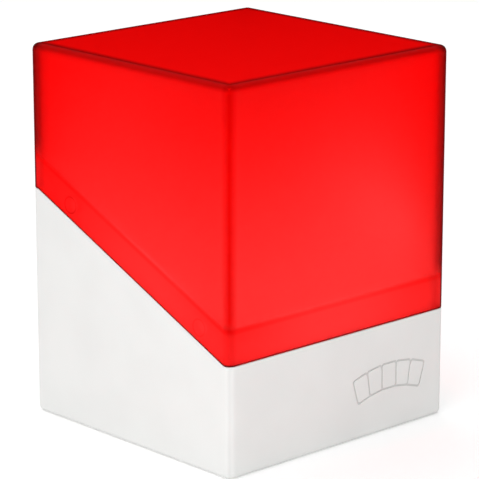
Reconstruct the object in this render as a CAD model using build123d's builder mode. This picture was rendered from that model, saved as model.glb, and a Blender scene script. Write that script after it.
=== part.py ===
# A rigid deck box for trading cards. A translucent lid drops over an opaque base along a seam that is
# level across the front and climbs along both sides, so that the open box shows the front of the deck.
# Inside the base stands a four-sided sleeve. It rises above the seam as a collar, and the lid closes
# over it onto four small round nubs.
#
# Millimetres. X is the width, Y the depth with the front at -Y, Z up from the face the box stands on.
import math
import os

from build123d import *

os.makedirs("parts", exist_ok=True)

# ---- Driving dimensions ----

# The closed box
width = 78.1
depth = 76.9
height = 101.0
corner_radius = 2.0  # upright outer edges
top_radius = 1.8  # edges round the top of the lid
foot_radius = 1.6  # edges round the bottom of the base

# Walls
lid_wall = 1.5
lid_ceiling = 2.0
base_floor = 2.4
sleeve_wall = 1.5

# The seam between lid and base
seam_front = 29.75  # height of its level part across the front
seam_angle = 24.0  # climb along the sides, in degrees
seam_straight = 0.03  # level run between each rounded upright edge and the bend
seam_bend_radius = 0.8  # where it turns from level to climbing
lid_rim_chamfer = 0.25
base_rim_chamfer = 0.15

# The collar, which is the part of the sleeve that stands above the seam
collar_rise = 8.5
collar_lead_in = 0.5  # outer chamfer that guides the lid on
collar_soft_edge = 0.3  # inner chamfer, past which the cards slide in
collar_corner_radius = 1.2

# Fits
slide_gap = 0.3  # between the collar and the inside of the lid, on each side
bond_gap = 0.1  # between the sleeve and the base around it, on each side

# Nubs on both sides of the collar, and the sockets in the lid that they lie in
nub_radius = 2.0
nub_height = 0.2
nub_root = 0.5  # how deep its material starts inside the sleeve's wall
nub_rise = 4.1  # its centre above the seam
nub_from_front = 11.2
nub_from_rear = 15.8
socket_clearance = 0.2
socket_depth = 0.3

# Smaller mouldings
lid_inner_radius = 1.0  # upright corners inside the lid
sleeve_inner_radius = 1.0  # upright corners inside the sleeve
ceiling_fillet = 0.8  # round the underside of the lid's ceiling
foot_width = 5.0  # the rim that the base stands on
foot_recess = 0.4
foot_recess_radius = 3.0

# The engraved mark on the front: a plain fan of blank cards
mark_cards = 5
mark_card_width = 5.8
mark_card_height = 7.4
mark_card_radius = 0.9
mark_reach = 34.0  # from the point that the cards turn about to the middle of each
mark_turn = 8.5  # degrees from each card to the next
mark_stroke = 0.55
mark_depth = 0.3
mark_right_inset = 20.9  # from the right edge of the front to the middle card
mark_middle = 15.4  # height of the middle card's centre

# ---- Sizes that follow ----

half_width = width / 2
half_depth = depth / 2
collar_inset = lid_wall + slide_gap
sleeve_inset = collar_inset + sleeve_wall
base_wall = collar_inset - bond_gap
base_inner_radius = collar_corner_radius + bond_gap
seam_climb = math.tan(math.radians(seam_angle))
seam_turn = seam_straight + seam_bend_radius * math.tan(math.radians(seam_angle / 2))
shell_level = corner_radius + seam_turn  # how much of the seam is level at each end of a side
sleeve_level = collar_inset + collar_corner_radius + seam_turn


def seam_height(y):
    """Height of the seam's climbing part, at depth y."""
    return seam_front + (y + half_depth - shell_level) * seam_climb


# The nubs' and sockets' centres, in the plane of the sides
nub_depths = (nub_from_front - half_depth, half_depth - nub_from_rear)
nub_centres = [(y, seam_height(y) + nub_rise) for y in nub_depths]

mark_turns = [mark_turn * (card - (mark_cards - 1) / 2) for card in range(mark_cards)]


def seam_line(rise, level):
    """Corners of the seam's line, from front to rear in the plane of the sides, lifted by rise.
    Its front and rear are level as far in as level says, and it climbs between."""
    front = level - half_depth
    rear = half_depth - level
    return [
        (-half_depth, seam_height(front) + rise),
        (front, seam_height(front) + rise),
        (rear, seam_height(rear) + rise),
        (half_depth, seam_height(rear) + rise),
    ]


def facing_out(face):
    """True of an upright face on the outside of a shell."""
    normal = face.normal_at()
    return abs(normal.Z) < 0.01 and normal.dot(face.center()) > 0


def facing_in(face):
    """True of an upright face on the inside of a shell."""
    normal = face.normal_at()
    return abs(normal.Z) < 0.01 and normal.dot(face.center()) < 0


def rim_edges(piece, upward, walls):
    """The edges that the rim of a shell shares with its walls on one side."""
    rim = piece.faces().filter_by(lambda face: face.normal_at().Z * upward > 0.5)
    return rim.edges() & piece.faces().filter_by(walls).edges()


# ---- Inner sleeve ----
# A plain rectangular tube that stands on the floor of the base. Its top follows the seam, lifted by
# the height of the collar.
with BuildPart() as inner_sleeve:
    with BuildSketch(Plane.XY.offset(base_floor)):
        RectangleRounded(width - 2 * collar_inset, depth - 2 * collar_inset, collar_corner_radius)
        RectangleRounded(
            width - 2 * sleeve_inset, depth - 2 * sleeve_inset, sleeve_inner_radius, mode=Mode.SUBTRACT
        )
    extrude(amount=height)
    with BuildSketch(Plane.YZ):
        with BuildLine():
            seam = FilletPolyline(seam_line(collar_rise, sleeve_level), radius=seam_bend_radius)
            Polyline(seam @ 1, (half_depth, 0), (-half_depth, 0), seam @ 0)
        make_face()
    extrude(amount=width, both=True, mode=Mode.INTERSECT)
    chamfer(rim_edges(inner_sleeve.part, 1, facing_out), length=collar_lead_in)
    chamfer(rim_edges(inner_sleeve.part, 1, facing_in), length=collar_soft_edge)
    # Each nub is a shallow dome, turned about an axis square to the side that it stands on.
    for side in (-1, 1):
        for y, z in nub_centres:
            seat = Vector(side * (half_width - collar_inset), y, z)
            with BuildSketch(Plane(seat, x_dir=(side, 0, 0), z_dir=(0, -side, 0))):
                with BuildLine():
                    dome = TangentArc((nub_height, 0), (0, nub_radius), tangent=(0, 1))
                    Polyline(dome @ 1, (-nub_root, nub_radius), (-nub_root, 0), dome @ 0)
                make_face()
            revolve(axis=Axis(seat, (side, 0, 0)))
inner_sleeve.part.label = "inner_sleeve"
export_step(inner_sleeve.part, "parts/inner_sleeve.step")


# ---- Base shell ----
# The opaque outer tray. Its wall fills the room between the outside of the box and the sleeve, so lid
# and base are flush, and the sleeve is bonded to its floor.
with BuildPart() as base_shell:
    with BuildSketch():
        RectangleRounded(width, depth, corner_radius)
    extrude(amount=height)
    fillet(base_shell.edges().group_by(Axis.Z)[0], radius=foot_radius)
    with BuildSketch(Plane.XY.offset(base_floor)):
        RectangleRounded(width - 2 * base_wall, depth - 2 * base_wall, base_inner_radius)
    extrude(amount=height, mode=Mode.SUBTRACT)
    with BuildSketch():
        RectangleRounded(width - 2 * foot_width, depth - 2 * foot_width, foot_recess_radius)
    extrude(amount=foot_recess, mode=Mode.SUBTRACT)
    with BuildSketch(Plane.YZ):
        with BuildLine():
            seam = FilletPolyline(seam_line(0, shell_level), radius=seam_bend_radius)
            Polyline(seam @ 1, (half_depth, 0), (-half_depth, 0), seam @ 0)
        make_face()
    extrude(amount=width, both=True, mode=Mode.INTERSECT)
    chamfer(rim_edges(base_shell.part, 1, facing_out), length=base_rim_chamfer)
    # The fan is drawn from its outermost cards inwards, and each card hides what it lies over.
    with BuildSketch(Plane.XZ.offset(half_depth)):
        for turn in sorted(mark_turns, key=abs, reverse=True):
            pivot = Pos(half_width - mark_right_inset, mark_middle - mark_reach)
            with Locations(pivot * Rot(0, 0, turn) * Pos(0, mark_reach)):
                RectangleRounded(mark_card_width, mark_card_height, mark_card_radius)
                RectangleRounded(
                    mark_card_width - 2 * mark_stroke,
                    mark_card_height - 2 * mark_stroke,
                    mark_card_radius - mark_stroke / 2,
                    mode=Mode.SUBTRACT,
                )
    extrude(amount=-mark_depth, mode=Mode.SUBTRACT)
base_shell.part.label = "base_shell"
export_step(base_shell.part, "parts/base_shell.step")


# ---- Lid ----
# A translucent cap, open below. Its rim rests on the rim of the base all the way round.
with BuildPart() as lid:
    with BuildSketch():
        RectangleRounded(width, depth, corner_radius)
    extrude(amount=height)
    fillet(lid.edges().group_by(Axis.Z)[-1], radius=top_radius)
    with BuildSketch():
        RectangleRounded(width - 2 * lid_wall, depth - 2 * lid_wall, lid_inner_radius)
    extrude(amount=height - lid_ceiling, mode=Mode.SUBTRACT)
    ceiling = lid.faces().filter_by(Plane.XY).sort_by(Axis.Z)[-2]
    fillet(ceiling.edges(), radius=ceiling_fillet)
    with BuildSketch(Plane.YZ):
        with BuildLine():
            seam = FilletPolyline(seam_line(0, shell_level), radius=seam_bend_radius)
            Polyline(seam @ 1, (half_depth, height), (-half_depth, height), seam @ 0)
        make_face()
    extrude(amount=width, both=True, mode=Mode.INTERSECT)
    chamfer(rim_edges(lid.part, -1, facing_out), length=lid_rim_chamfer)
    for side in (-1, 1):
        with BuildSketch(Plane.YZ.offset(side * (half_width - lid_wall))):
            with Locations(nub_centres):
                Circle(nub_radius + socket_clearance)
        extrude(amount=side * socket_depth, mode=Mode.SUBTRACT)
lid.part.label = "lid"
export_step(lid.part, "parts/lid.step")

print("inside the sleeve:", width - 2 * sleeve_inset, "x", depth - 2 * sleeve_inset)
print("floor to ceiling:", height - base_floor - lid_ceiling)
print("seam, front and rear:", seam_front, seam_height(half_depth - shell_level))
print("top of the collar:", inner_sleeve.part.bounding_box().max.Z)
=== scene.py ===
# %% [markdown]
# # A card deck box with a lift-off lid
# The box is three plastic mouldings. A white shell is cut off along a sloping seam, a white
# sleeve stands inside it and shows above that seam as a collar, and a frosted red lid slides
# down over the collar. Their shapes come ready made from the construction model, so the work
# here is on what the plastics look like, and on the light that shows it.

# %% Load the model
import math

import bmesh
import bpy
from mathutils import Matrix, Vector


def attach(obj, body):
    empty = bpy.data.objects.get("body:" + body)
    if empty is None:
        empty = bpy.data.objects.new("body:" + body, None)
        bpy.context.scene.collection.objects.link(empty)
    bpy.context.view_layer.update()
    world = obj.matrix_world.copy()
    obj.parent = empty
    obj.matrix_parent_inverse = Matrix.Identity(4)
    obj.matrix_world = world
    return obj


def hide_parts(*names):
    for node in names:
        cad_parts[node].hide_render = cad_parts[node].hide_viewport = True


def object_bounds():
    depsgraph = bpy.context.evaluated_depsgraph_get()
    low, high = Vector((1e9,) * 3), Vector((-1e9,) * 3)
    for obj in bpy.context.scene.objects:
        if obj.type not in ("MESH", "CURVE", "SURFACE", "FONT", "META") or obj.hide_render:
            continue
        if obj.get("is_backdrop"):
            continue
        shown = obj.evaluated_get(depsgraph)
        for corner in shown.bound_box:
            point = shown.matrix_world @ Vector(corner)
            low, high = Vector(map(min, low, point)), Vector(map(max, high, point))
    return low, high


in_mm = 1000

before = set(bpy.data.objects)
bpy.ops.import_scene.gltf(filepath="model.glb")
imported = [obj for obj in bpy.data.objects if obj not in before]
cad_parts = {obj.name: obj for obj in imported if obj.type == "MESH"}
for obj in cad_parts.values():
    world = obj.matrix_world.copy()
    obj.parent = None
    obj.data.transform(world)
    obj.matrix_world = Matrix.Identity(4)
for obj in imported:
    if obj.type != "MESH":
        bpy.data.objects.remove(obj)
cad_low, cad_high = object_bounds()
sides = [round(in_mm * side, 1) for side in cad_high - cad_low]
print("the box measures", sides, "mm")

# %% [markdown]
# ## Sums on a surface
# A material is a net of nodes, and most of them only add and multiply. Wiring those one by one
# hides the idea, so a value on the surface is wrapped in a small class that takes part in
# ordinary Python sums, and each operator adds its Math node. A second class is one finish: it
# owns the material, makes any other node, and sets the sockets of the main shader.

# %% A value on the surface


class Level:
    """A number that changes over a surface, and can be used in a sum."""

    def __init__(self, tree, socket):
        self.tree = tree
        self.socket = socket

    def maths(self, operation, *terms):
        """Adds one Math node that works on these terms."""
        node = self.tree.nodes.new("ShaderNodeMath")
        node.operation = operation
        for socket, term in zip(node.inputs, terms):
            plug(self.tree, socket, term)
        return Level(self.tree, node.outputs[0])

    def __add__(self, other):
        return self.maths("ADD", self, other)

    def __sub__(self, other):
        return self.maths("SUBTRACT", self, other)

    def __rsub__(self, other):
        return self.maths("SUBTRACT", other, self)

    def __mul__(self, other):
        return self.maths("MULTIPLY", self, other)

    def __abs__(self):
        return self.maths("ABSOLUTE", self)

    def at_most(self, other):
        return self.maths("MINIMUM", self, other)

    def at_least(self, other):
        return self.maths("MAXIMUM", self, other)

    __radd__ = __add__
    __rmul__ = __mul__


def plug(tree, socket, value):
    """Gives a socket a link, if the value is a level, or else the plain value."""
    if isinstance(value, Level):
        tree.links.new(value.socket, socket)
    else:
        socket.default_value = value


# %% A finish


class Finish:
    """One material, its main shader and the nodes behind it."""

    def __init__(self, name):
        self.material = bpy.data.materials.new(name)
        self.material.use_nodes = True
        self.tree = self.material.node_tree
        self.shader = self.tree.nodes["Principled BSDF"]
        self.output = self.tree.nodes["Material Output"]
        self.place = self.node("TexCoord", give="Object")
        self.x, self.y, self.z = (self.along(axis) for axis in "XYZ")

    def node(self, kind, settings=(), sockets=(), give=0):
        """Adds a node: first its settings, then its sockets, by name or number."""
        node = self.tree.nodes.new("ShaderNode" + kind)
        for name, value in dict(settings).items():
            setattr(node, name, value)
        for name, value in dict(sockets).items():
            plug(self.tree, node.inputs[name], value)
        return Level(self.tree, node.outputs[give])

    def along(self, axis):
        """How far along one axis a point lies."""
        return self.node("SeparateXYZ", sockets={0: self.place}, give=axis)

    def set(self, sockets):
        """Sets sockets of the main shader."""
        for name, value in sockets.items():
            plug(self.tree, self.shader.inputs[name], value)

    def noise(self, size, detail=2.0):
        """A cloudy pattern between 0 and 1, with lumps about this size in metres."""
        sockets = {"Vector": self.place, "Scale": 1 / size, "Detail": detail}
        return self.node("TexNoise", sockets=sockets)

    def ramp(self, level, start, end, low=0.0, high=1.0):
        """Low before start and high after end, with a soft step between them."""
        return self.node(
            "MapRange",
            {"interpolation_type": "SMOOTHSTEP"},
            {"Value": level, "From Min": start, "From Max": end, "To Min": low, "To Max": high},
        )

    def fade(self, level, band, strength):
        """A soft step from strength down to nothing over a band."""
        return self.ramp(level, *band, low=strength, high=0.0)

    def grain(self, strength):
        """The fine relief of a sparked mould, as a bump."""
        relief = self.noise(grain_size, detail=grain_detail)
        sockets = {"Height": relief, "Strength": strength, "Distance": grain_depth}
        return self.node("Bump", sockets=sockets)

    def colour(self, red_part, green_part, blue_part):
        """A colour from its three parts."""
        return self.node("CombineColor", sockets={0: red_part, 1: green_part, 2: blue_part})

    def insets(self):
        """How far in a point lies from the nearer upright face, the other one, and the top."""
        from_side = half_width - abs(self.x)
        from_front = half_depth - abs(self.y)
        return from_side.at_most(from_front), from_side.at_least(from_front), top - self.z


half_width, half_depth, top = cad_high
edges = [round(in_mm * edge, 2) for edge in (half_width, half_depth, top)]
print("edges are measured from", edges, "mm")

# %% [markdown]
# ## The white mouldings
# The shell and the sleeve are moulded in a mould with a finely sparked surface, so the plastic
# is matt, with a grain a third of a millimetre wide that only shows close up. It could be a
# picture of a grain, but noise has no seams and no edge. Slow clouds in the roughness stand for
# the flow of the plastic and for handling, and edges that rub against a hand shine a little.
#
# The upright corners are painted a little greyer, as painted shade on their rounding, and the
# floor of the fan of cards cut into the front is painted darker, as painted shade with some
# dust. The cut itself is in the mesh; here its floor is only darkened, by how far it lies
# behind the face.

# %% Find the painted shade and dust in the cut
cut_wall = (0.0001, 0.0002)
cut_floor = (0.0004, 0.0006)
cut_low = (0.004, 0.006)
cut_high = (0.026, 0.028)
cut_side = (0.033, 0.035)
cut_loss = 0.2


def cut_shade_and_dust(finish):
    """How much the floor of the cut is darkened, as painted shade with dust, and nothing anywhere
    else.
    """
    behind_front = finish.y + half_depth
    # The floor of the cut is painted darker, as painted shade with some dust.
    cut = finish.ramp(behind_front, *cut_wall) * finish.fade(behind_front, cut_floor, 1.0)
    cut = cut * finish.ramp(finish.z, *cut_low) * finish.fade(finish.z, cut_high, 1.0)
    return cut * finish.fade(abs(finish.x), cut_side, cut_loss)


print("dust lies from", in_mm * cut_wall[0], "to", in_mm * cut_floor[1], "mm behind the front")

# %% Mix the white plastics
grain_size = 0.00035
grain_depth = 0.00004
grain_detail = 3.0
mould_grain = 0.3
cloud_size = 0.02
cloud_band = (0.3, 0.7)
cloud_loss = 0.03
cloud_matt = 0.08
plastic_bend = 1.5
worn_band = (0.0, 0.0012)
worn_matt = 0.06
corner_shade_band = (0.0003, 0.0014)
corner_shade_loss = 0.12


def white_moulding(name, colour, matt):
    """A matt white plastic with a mould's grain, with painted shade on its upright corners and
    painted shade with dust in its cuts.
    """
    finish = Finish(name)
    cloud = finish.noise(cloud_size)
    near, far, down = finish.insets()
    rubbed = finish.fade(near.at_least(far.at_most(down)), worn_band, worn_matt)
    share = 1 - cloud_loss * finish.ramp(cloud, *cloud_band)
    # The upright corners are painted greyer here, as painted shade on their rounding.
    share = share * (1 - finish.fade(far, corner_shade_band, corner_shade_loss)) * (1 - cut_shade_and_dust(finish))
    finish.set({
        "Base Color": finish.colour(*(part * share for part in colour)),
        "Roughness": matt - rubbed + cloud_matt * cloud,
        "IOR": plastic_bend,
        "Normal": finish.grain(mould_grain),
    })
    return finish.material


shell_white = white_moulding("shell_white", colour=(0.88, 0.885, 0.87), matt=0.5)
sleeve_white = white_moulding("sleeve_white", colour=(0.95, 0.95, 0.94), matt=0.5)
print("the white plastics have grain of", in_mm * grain_size, "mm")

# %% [markdown]
# ## The red lid
# The lid is a clear red plastic with a fine frost. Light goes through it, loses its green and
# blue on the way, and is scattered where it crosses the frost, so the collar just behind the
# wall shows and the inside further back doesn't. Red paint would be the same red everywhere.
# Here the plastic itself takes up the light by the length of its path, as real tinted plastic
# does, so it is a glass shader with an absorbing volume. It bends light less than solid plastic
# would, so that less of the white collar behind it is lost in reflections.

# %% Start the red plastic
frost = 0.95
polish = 0.05
bend = 1.2
frost_grain = 0.2
see_through = 1.0
pure_red = (1.0, 0.0, 0.0, 1)

red = Finish("lid_red")
red.set({
    "Roughness": frost - polish * red.noise(cloud_size),
    "IOR": bend,
    "Transmission Weight": see_through,
    "Specular Tint": pure_red,
    "Normal": red.grain(frost_grain),
})
print("the lid's frost is", frost)

# %% Tint it through its thickness
tint_density = 385.0
tint = red.node("VolumeAbsorption", sockets={"Color": pure_red, "Density": tint_density})
red.tree.links.new(tint.socket, red.output.inputs["Volume"])
half_way = math.log(2) / tint_density
print("half the green is gone after", round(in_mm * half_way, 2), "mm of lid")

# %% [markdown]
# ## Where the lid is deeper in colour
# A moulded lid isn't one even red. Its wall is thickest at the ceiling, the corners are thicker
# than the flats, and a frosted skin sends back less light the more it is seen from the side.
# These could be modelled as thickness, but tenths of a millimetre would need a very fine mesh.
# They are worked out here from the place on the lid instead, as shares of red and of green that
# the plastic lets by. Painted light and shade go into the same shares: the lid is painted
# lighter lower down, and painted shade lies at the seam, over the collar, at the sockets and on
# the far walls.
#
# First come the places: the distances from the corners and the ceiling, the height above the
# seam, the outer skin, and how far aslant the skin is seen. Light that comes out through the
# inside of a wall is told from light that goes in through the skin by Backfacing.

# %% Find the corners, the ceiling and the seam
seam_front = 0.02975
seam_level = 0.0022
seam_angle = 24.0
seam_climb = math.tan(math.radians(seam_angle))
seam_run = 2 * (half_depth - seam_level)
skin_band = (0.0005, 0.0009)

near, far, down = red.insets()
run = (red.y + seam_run / 2).at_least(0.0).at_most(seam_run)
above_seam = red.z - seam_front - seam_climb * run
inside = red.node("NewGeometry", give="Backfacing")
outside = 1 - inside
skin = red.fade(near.at_most(down), skin_band, 1.0)
aslant = red.node("Fresnel", sockets={"IOR": plastic_bend}) * outside
climb = seam_climb * seam_run
print("the seam climbs from", in_mm * seam_front, "mm by", round(in_mm * climb, 2), "mm")

# %% [markdown]
# A wall seen aslant is seen through more plastic, and most of all where an upright corner
# rounds away, so the outline of the lid is a crisp dark line. Where the wall overlaps the
# sleeve's collar the line is painted darker, as painted shade from the gap behind it.

# %% Darken the outline
slant_flat = 0.06
outline_band = (0.058, 0.085)
outline_loss = 0.55
outline_gap_shade_loss = 0.9
rounding = (0.0016, 0.0024)
below_top = (0.001, 0.002)
collar_top = (0.008, 0.012)

slants = {"Value": aslant, "From Min": slant_flat, "From Max": 1.0}
slant_loss = red.node("MapRange", sockets=slants)
rounded = red.fade(far, rounding, 1.0) * red.ramp(down, *below_top)
# Over the collar the outline is painted darker still, as painted shade from the gap behind.
strength = red.ramp(above_seam, *collar_top, low=outline_gap_shade_loss, high=outline_loss)
outline = red.ramp(aslant, *outline_band) * rounded * strength
print("the outline is darkened over the last", in_mm * rounding[0], "mm of each upright corner")

# %% [markdown]
# The edges of the top are rounded outside and square inside, so light takes a longer way
# through the plastic there, and so it does in the upright corners. At the seam the rim's skin is
# painted darker, as painted shade of the rim.

# %% Work out the share of red
top_edge_band = (0.0006, 0.0020)
top_edge_loss = 0.72
top_side = 0.5
upright_band = (0.0004, 0.0032)
upright_loss = 0.25
corner_band = (0.0026, 0.0050)
corner_loss = 0.9
collar_band = (0.007, 0.012)
collar_light_share = 0.3
seam_shade_band = (0.0003, 0.0007)
seam_shade_loss = 0.95

top_edge = skin * red.fade((top_side * near).at_least(down), top_edge_band, top_edge_loss)
# Below the collar's edge the corners are painted lighter, as painted light from the white collar
# behind the lid.
above_collar = red.ramp(above_seam, *collar_band, low=collar_light_share)
upright_edge = red.fade(far, upright_band, upright_loss) * above_collar
within_corner = inside * skin * red.fade(far, corner_band, corner_loss) * above_collar
# A dark line on the rim's outer skin at the seam is painted shade.
seam_shade = outside * skin * red.fade(above_seam, seam_shade_band, seam_shade_loss)
red_share = 1 - slant_loss.at_least(outline)
for loss in (top_edge, within_corner, seam_shade, upright_edge):
    red_share = red_share * (1 - loss)
print("the top's edges keep", round(1 - top_edge_loss, 2), "of their red")

# %% [markdown]
# Green and blue go first where the plastic is thick: at the ceiling and in the corners. The
# green is also painted to fall away towards the top, as painted light from the lit white inside
# that keeps the lower lid lighter. In the corners below the collar's edge some green is painted
# back in, as painted light from the white behind the lid.

# %% Work out the share of green and blue
painted_light_band = (0.030, 0.101)
painted_light_top_share = 0.2
ceiling_band = (0.0, 0.002)
ceiling_share = 0.2
corner_share = 0.03
collar_light_corner_share = 0.6

# The lid is painted lighter and pinker lower down and deeper red towards the top, as painted
# light from the lit white inside.
painted_light_by_height = red.ramp(red.z, *painted_light_band, low=1.0, high=painted_light_top_share)
ceiling = red.ramp(down, *ceiling_band, low=ceiling_share)
# In the corners below the collar's edge green is painted back in, as painted light from the white
# collar behind.
corner_green = red.ramp(above_seam, *collar_band, low=collar_light_corner_share, high=corner_share)
corner = red.ramp(far, *upright_band, low=corner_green)
green_share = red_share * painted_light_by_height * ceiling * corner
print("the ceiling keeps", ceiling_share, "of its green")

# %% [markdown]
# A wall of the lid that is seen from within, through the wall in front of it, is painted deeper
# still, as painted shade, most of all towards its corners and lower down. Below the collar's
# edge, where the lid lies close on the sleeve, it is painted deeper too, as painted shade between
# the two, and the collar's edge itself shows as a soft painted shadow line.

# %% Paint shade on the far walls
reach_band = (0.003, 0.036)
far_corner_shade_loss = 0.95
reach_step = (0.004, 0.012)
reach_share = 0.7
far_wall_shade_band = (0.065, 0.095)
far_wall_shade_loss = 0.5

# Far walls seen from within are painted deeper towards their corners and lower down, as painted
# shade.
reach = inside * skin * red.fade(far, reach_band, far_corner_shade_loss)
far_corner_shade = reach * red.ramp(above_seam, *reach_step, low=reach_share)
far_wall_shade = inside * skin * red.fade(red.z, far_wall_shade_band, far_wall_shade_loss)
green_share = green_share * (1 - far_corner_shade) * (1 - far_wall_shade)
print("the far walls are deeper up to", in_mm * reach_band[1], "mm from a corner")

# %% Paint shade over the collar and along its edge
collar_height = 0.0092
skirt_shade_band = (collar_height, 0.0102)
skirt_shade_loss = 0.66
collar_shade_line = (0.0003, 0.0012)
collar_edge_shade_loss = 0.4

# Where the lid lies close on the collar it is painted deeper, as painted shade, and the collar's
# top edge is a painted shadow line.
skirt_shade = skin * red.fade(above_seam, skirt_shade_band, skirt_shade_loss)
collar_edge_shade = skin * red.fade(abs(above_seam - collar_height), collar_shade_line, collar_edge_shade_loss)
green_share = green_share * (1 - skirt_shade) * (1 - collar_edge_shade)
print("the collar's edge shows", in_mm * collar_height, "mm above the seam")

# %% [markdown]
# The lid snaps onto four small nubs, which lie in shallow round sockets inside its two sides.
# The rim of each socket shows through the frost as a faint dark ring, the front pair fainter
# than the back pair. The sockets are real, in the mesh, and the ring is painted into the colour,
# as painted shade at each socket's rim.

# %% Paint shade at the sockets' rims
socket_radius = 0.0022
socket_above_seam = 0.0041
socket_places = (-0.02725, 0.02265)
socket_shade_losses = (0.35, 0.6)
socket_shade_band = (0.0, 0.0004)
socket_shade_red_loss = 0.45
side_band = (0.0019, 0.0023)

socket_shade = 0.0
for nub_y, socket_shade_loss in zip(socket_places, socket_shade_losses):
    nub_z = seam_front + seam_climb * (nub_y + seam_run / 2) + socket_above_seam
    across = red.node("CombineXYZ", sockets={0: 0.0, 1: red.y - nub_y, 2: red.z - nub_z})
    from_centre = red.node("VectorMath", {"operation": "LENGTH"}, {0: across}, give="Value")
    socket_shade = socket_shade + red.fade(abs(from_centre - socket_radius), socket_shade_band, socket_shade_loss)
    print("sockets at", round(in_mm * nub_y, 2), round(in_mm * nub_z, 2), "mm")
socket_shade = socket_shade * red.fade(half_width - abs(red.x), side_band, 1.0)
# The sockets' rims are painted darker here, as painted shade at the edge of each recess.
red_share = red_share * (1 - socket_shade_red_loss * socket_shade)
green_share = green_share * (1 - socket_shade)
red.set({"Base Color": red.colour(red_share, green_share, green_share)})

# %% [markdown]
# ## The lid's matt skin
# Seen aslant, a frosted face stops showing what is behind it and looks like matt red card, as
# the top does here. Frost in the glass shader keeps its shine at such angles, so a matt skin
# without shine is mixed in the more the face is seen from the side. Its red is painted darker at
# the edges of the top, as painted shade where the rounding turns away from the light.

# %% Lay the matt skin over the plastic
skin_takes_over = (0.08, 0.45)
skin_slant = (0.26, 0.6)
skin_flat_red = 0.86
skin_aslant_red = 0.06
skin_edge_shade_band = (0.0006, 0.0030)
skin_edge_shade_share = 0.1
skin_top_side = 0.6
fully_matt = 1.0
no_shine = 0.0

within_edge = (skin_top_side * near).at_least(down)
skin_red = red.ramp(aslant, *skin_slant, low=skin_flat_red, high=skin_aslant_red)
# At the edges of the top the skin's red is painted darker, as painted shade where the rounding
# turns away from the light.
skin_red = skin_red * red.ramp(within_edge, *skin_edge_shade_band, low=skin_edge_shade_share)
skin_red = skin_red * (1 - outline)
matt_skin = red.node(
    "BsdfPrincipled",
    sockets={
        "Base Color": red.colour(skin_red, 0.0, 0.0),
        "Roughness": fully_matt,
        "Specular IOR Level": no_shine,
    },
)
clear_plastic = Level(red.tree, red.shader.outputs[0])
takes_over = red.ramp(aslant, *skin_takes_over)
surface = red.node("MixShader", sockets={0: takes_over, 1: clear_plastic, 2: matt_skin})
red.tree.links.new(surface.socket, red.output.inputs["Surface"])
print("the lid's colour takes", len(red.tree.nodes), "nodes")

# %% [markdown]
# ## The hairline at the seam
# The lid's rim rests on the shell's rim, and in the construction model the two faces lie in one
# plane. A renderer can't say which of two faces in one plane it meets first, so light leaks
# into the shell there and leaves a dark smear above the seam. On the real box the rims touch
# only here and there, with a hairline between. So the lid is a copy of its moulding with the
# rim's flat face lifted by a twentieth of a millimetre, and the dark line is real shade, deepened
# by painted shade in the lid's colour.

# %% Copy the lid and lift its rim
hairline = 0.00005
rim_reach = 0.00012
same_place = 0.000001
sharp_corner = math.radians(30.0)


def height_above_seam(place):
    """How high a corner of the mesh is above the seam, which runs level at each end of a side."""
    along_side = min(max(place.y + seam_run / 2, 0.0), seam_run)
    return place.z - seam_front - seam_climb * along_side


lid_mesh = bpy.data.meshes.new("lid_moulding")
shape = bmesh.new()
shape.from_mesh(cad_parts["lid"].data)
bmesh.ops.remove_doubles(shape, verts=shape.verts, dist=same_place)
rim = [point for point in shape.verts if height_above_seam(point.co) < rim_reach]
bmesh.ops.translate(shape, verts=rim, vec=(0.0, 0.0, hairline))
for face in shape.faces:
    face.smooth = True
for line in shape.edges:
    line.smooth = line.calc_face_angle(0.0) < sharp_corner
shape.to_mesh(lid_mesh)
shape.free()
print("lifted", len(rim), "points of the rim, of", len(lid_mesh.vertices))

# %% [markdown]
# The copy is shaded smooth, with creases where two faces meet at more than 30 degrees. Long thin
# faces beside a rounded edge would bend the shading of the flats next to it, so Weighted Normal
# lets the large faces decide. The copy then takes the place of the moulding on the lid's body.

# %% Shade it evenly
even_weight = 100

lid = bpy.data.objects.new("lid_moulding", lid_mesh)
bpy.context.scene.collection.objects.link(lid)
even = lid.modifiers.new("even_shade", "WEIGHTED_NORMAL")
even.keep_sharp = True
even.weight = even_weight
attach(lid, "lid")
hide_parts("lid")
print("the lid has", len(lid_mesh.polygons), "faces")

# %% Put the plastics on the mouldings
for moulding, material in (
    (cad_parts["base_shell"], shell_white),
    (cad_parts["inner_sleeve"], sleeve_white),
    (lid, red.material),
):
    moulding.data.materials.clear()
    moulding.data.materials.append(material)
    print(moulding.name, "is made of", material.name)

# %% [markdown]
# ## The studio
# The box stands on a wide pale floor in a white room, under a large lamp overhead, with a
# second large lamp to its left and a small one close to its front corner. Large lamps give
# soft shadows, and the close one makes each side a little brighter towards that corner. The
# floor and the room show as pure white to the camera, and through the lid, while they light
# the box at a plain level.

# %% Lay the floor
floor_size = 8.0
floor_white = (0.85, 0.85, 0.85, 1)
floor_glow = 0.25
white = (1.0, 1.0, 1.0, 1)
seen_by = ("Is Camera Ray", "Is Glossy Ray", "Is Transmission Ray")

bpy.ops.mesh.primitive_plane_add(size=floor_size)
floor = bpy.context.object
floor.name = "floor"
paper = Finish("paper")
camera_ray, glossy_ray, passing_ray = (paper.node("LightPath", give=way) for way in seen_by)
seen = camera_ray.at_least(glossy_ray).at_least(passing_ray)
paper.set({
    "Base Color": floor_white,
    "Roughness": fully_matt,
    "Specular IOR Level": no_shine,
    "Emission Color": white,
    "Emission Strength": floor_glow * seen,
})
floor.data.materials.append(paper.material)
floor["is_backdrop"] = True
print("the floor is", floor_size, "m wide")

# %% Light the room
room_light = 0.53

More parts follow.
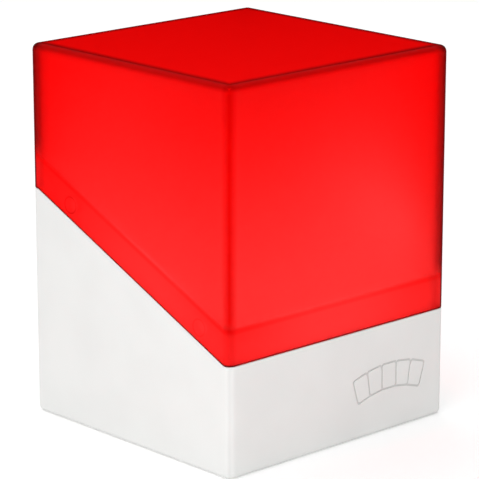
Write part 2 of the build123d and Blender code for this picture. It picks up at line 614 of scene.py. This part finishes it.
world = bpy.data.worlds.new("studio")
bpy.context.scene.world = world
world.use_nodes = True
sky = world.node_tree
room = sky.nodes["Background"]
path = sky.nodes.new("ShaderNodeLightPath")
camera_ray, glossy_ray, passing_ray = (Level(sky, path.outputs[way]) for way in seen_by)
seen = camera_ray.at_least(glossy_ray).at_least(passing_ray)
plug(sky, room.inputs["Strength"], room_light + (1 - room_light) * seen)
room.inputs["Color"].default_value = white
print("the room lights the box at", room_light)

# %% Hang the lamps
middle = (cad_low + cad_high) / 2


def hang_lamp(name, place, size, power):
    """A square lamp without hard edges, turned to the middle of the box."""
    lamp = bpy.data.objects.new(name, bpy.data.lights.new(name, "AREA"))
    lamp.data.size = size
    lamp.data.energy = power
    lamp.location = place
    lamp.rotation_euler = (middle - lamp.location).to_track_quat("-Z", "Y").to_euler()
    lamp.visible_camera = False
    bpy.context.scene.collection.objects.link(lamp)
    print(name, "lamp of", size, "m gives", power, "W")


hang_lamp("overhead", place=Vector((0.0, 0.3, 1.2)), size=1.2, power=7.8)
hang_lamp("left", place=Vector((-1.2, -0.4, 0.7)), size=0.8, power=3.2)
hang_lamp("front_corner", place=Vector((-0.18, -0.195, 0.12)), size=0.15, power=0.15)

# %% [markdown]
# ## The camera
# The camera looks a little down on the corner between the front and the left side, from far
# off with a long lens, so that upright edges stay nearly parallel.

# %% Set up the camera
azimuth = math.radians(-42.909)
elevation = math.radians(15.207)
distance = 0.71579
shift_right = 0.000114
shift_down = 0.002347
sensor_width = 36.0
lens = 202.73

back = Vector((
    math.sin(azimuth) * math.cos(elevation),
    -math.cos(azimuth) * math.cos(elevation),
    math.sin(elevation),
))
right = Vector((math.cos(azimuth), math.sin(azimuth), 0))
up = back.cross(right)
camera = bpy.data.objects.new("camera", bpy.data.cameras.new("camera"))
bpy.context.scene.collection.objects.link(camera)
camera.data.sensor_width = sensor_width
camera.data.lens = lens
camera.location = middle + distance * back + shift_right * right - shift_down * up
camera.rotation_euler = (-back).to_track_quat("-Z", "Y").to_euler()
bpy.context.scene.camera = camera
bpy.context.scene.view_settings.view_transform = "Standard"
print("the camera stands", distance, "m off, with a lens of", lens, "mm")

# %% [markdown]
# ## Light through the lid
# Light that gets into the lid bounces many times between the frosted wall and the white sleeve
# before it comes out. A renderer that stops early, or that blurs away rough glass to save
# time, makes the inside dark, so it is told to follow the light to its end.

# %% Follow the light
cycles = bpy.context.scene.cycles
bounces = {"max": 64, "diffuse": 16, "glossy": 32, "transmission": 64, "volume": 8}
for way, number in bounces.items():
    setattr(cycles, way + "_bounces", number)
cycles.blur_glossy = 0.0
print("light is followed for", bounces["max"], "bounces")

# %% [markdown]
# ## The last measure
# A finish mustn't change the size of the box. Its outer size is taken once more and is kept
# next to the size that it had when the model was loaded.

# %% Measure the finished box
visual_low, visual_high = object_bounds()
visual_sides = [round(in_mm * side, 1) for side in visual_high - visual_low]
print("the finished box measures", visual_sides, "mm")
